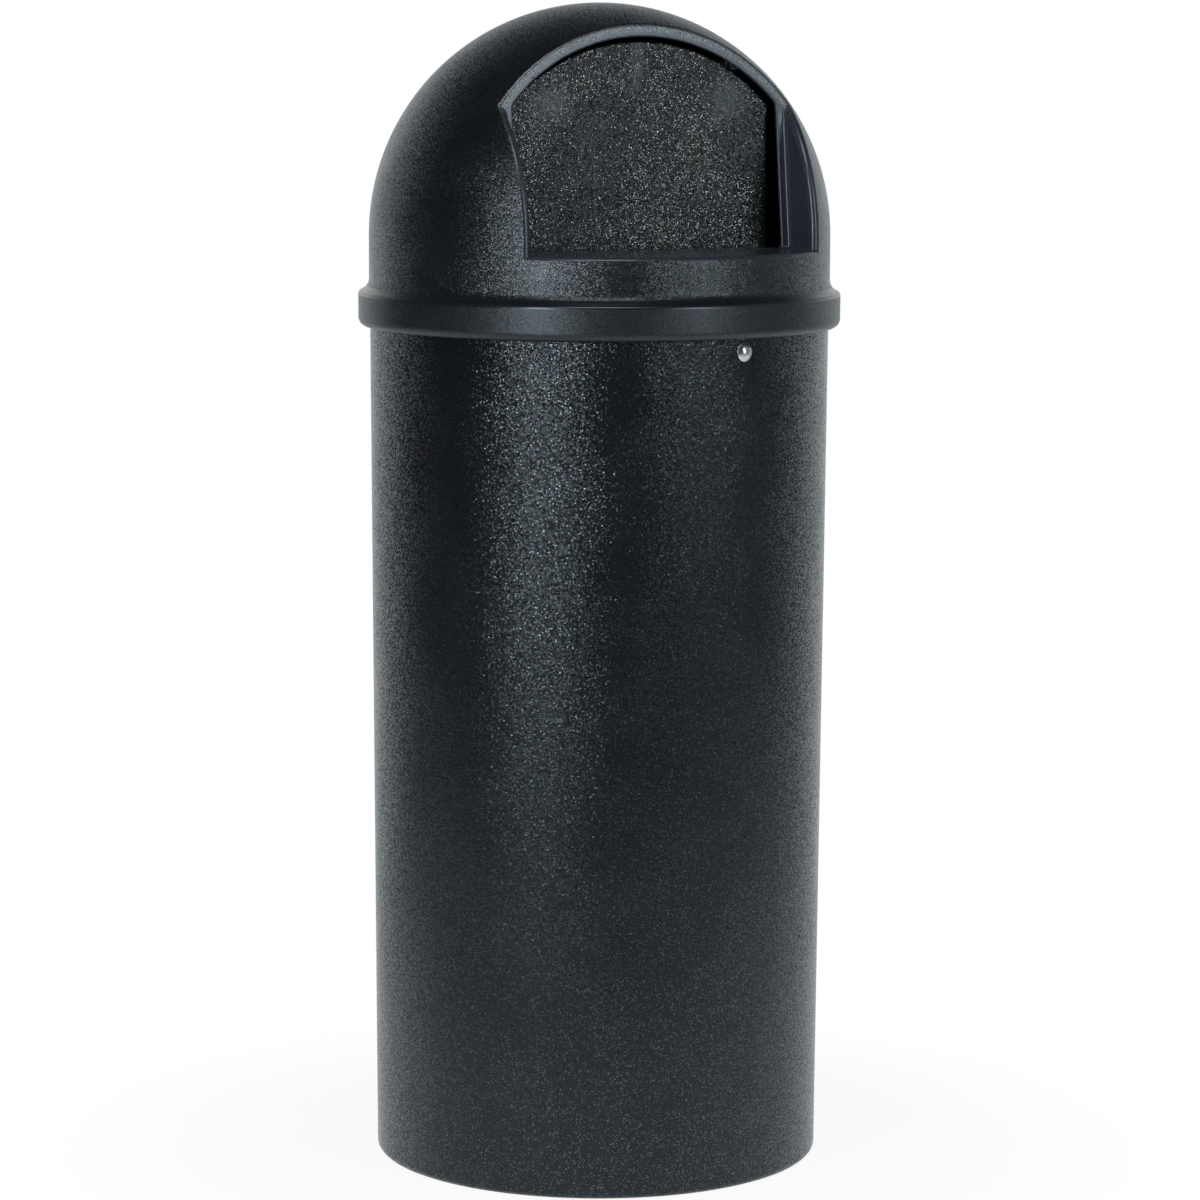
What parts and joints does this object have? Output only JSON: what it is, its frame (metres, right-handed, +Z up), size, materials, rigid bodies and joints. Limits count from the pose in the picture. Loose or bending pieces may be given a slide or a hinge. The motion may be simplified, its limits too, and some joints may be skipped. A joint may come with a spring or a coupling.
{
  "type": "dome top waste receptacle",
  "caption": "Tall round bin with a lift-off dome lid, a recessed arched mouth closed by a sprung push door, and an overhanging rim band.",
  "frame": {"origin": "centre of the body's underside, on the floor", "axes": "+Z up through the middle of the body, -Y out through the door, +X to the viewer's right when looking along +Y at the door"},
  "size_m": [0.385, 0.3848, 0.927],
  "materials": {
    "body_plastic": "pebbled moulded polyethylene, black, satin",
    "dome_plastic": "fine-grained moulded polyethylene, black, satin",
    "door_plastic": "coarse pebbled moulded plastic, black",
    "bolt_steel": "bright zinc or polished stainless steel",
    "plate_steel": "zinc-plated steel",
    "rod_steel": "drawn steel rod",
    "spring_steel": "oiled spring wire",
    "bush_nylon": "natural nylon",
    "band_rubber": "black rubber"
  },
  "bodies": {
    "bin": {"body_shell": "body_plastic", "bag_band_upper": "band_rubber", "bag_band_lower": "band_rubber", "tether_bolt": "bolt_steel", "tether_plate": "plate_steel", "tether_washer": "plate_steel", "tether_nut": "plate_steel"},
    "dome": {"dome_shell": "dome_plastic", "dome_eye_plate": "plate_steel", "dome_eye_screws": "plate_steel", "hinge_rod": "rod_steel", "rod_cap_left": "plate_steel", "rod_cap_right": "plate_steel", "bush_left": "bush_nylon", "bush_right": "bush_nylon", "spring_left": "spring_steel", "spring_right": "spring_steel", "door_bumper_left": "band_rubber", "door_bumper_right": "band_rubber"},
    "door": {"door_panel": "door_plastic"}
  },
  "joints": [
    {"name": "dome_lift", "type": "slide", "parent": "bin", "child": "dome", "axis": [0, 0, 1], "range_m": [0, 0.08]},
    {"name": "door_swing", "type": "hinge", "parent": "dome", "child": "door", "pos_m": [0, -0.0592, 0.87795], "axis": [1, 0, 0], "range_deg": [0, 70], "stiffness_Nm_per_rad": 0.12, "springref_deg": -20.05, "deforming": ["spring_left", "spring_right"]}
  ]
}
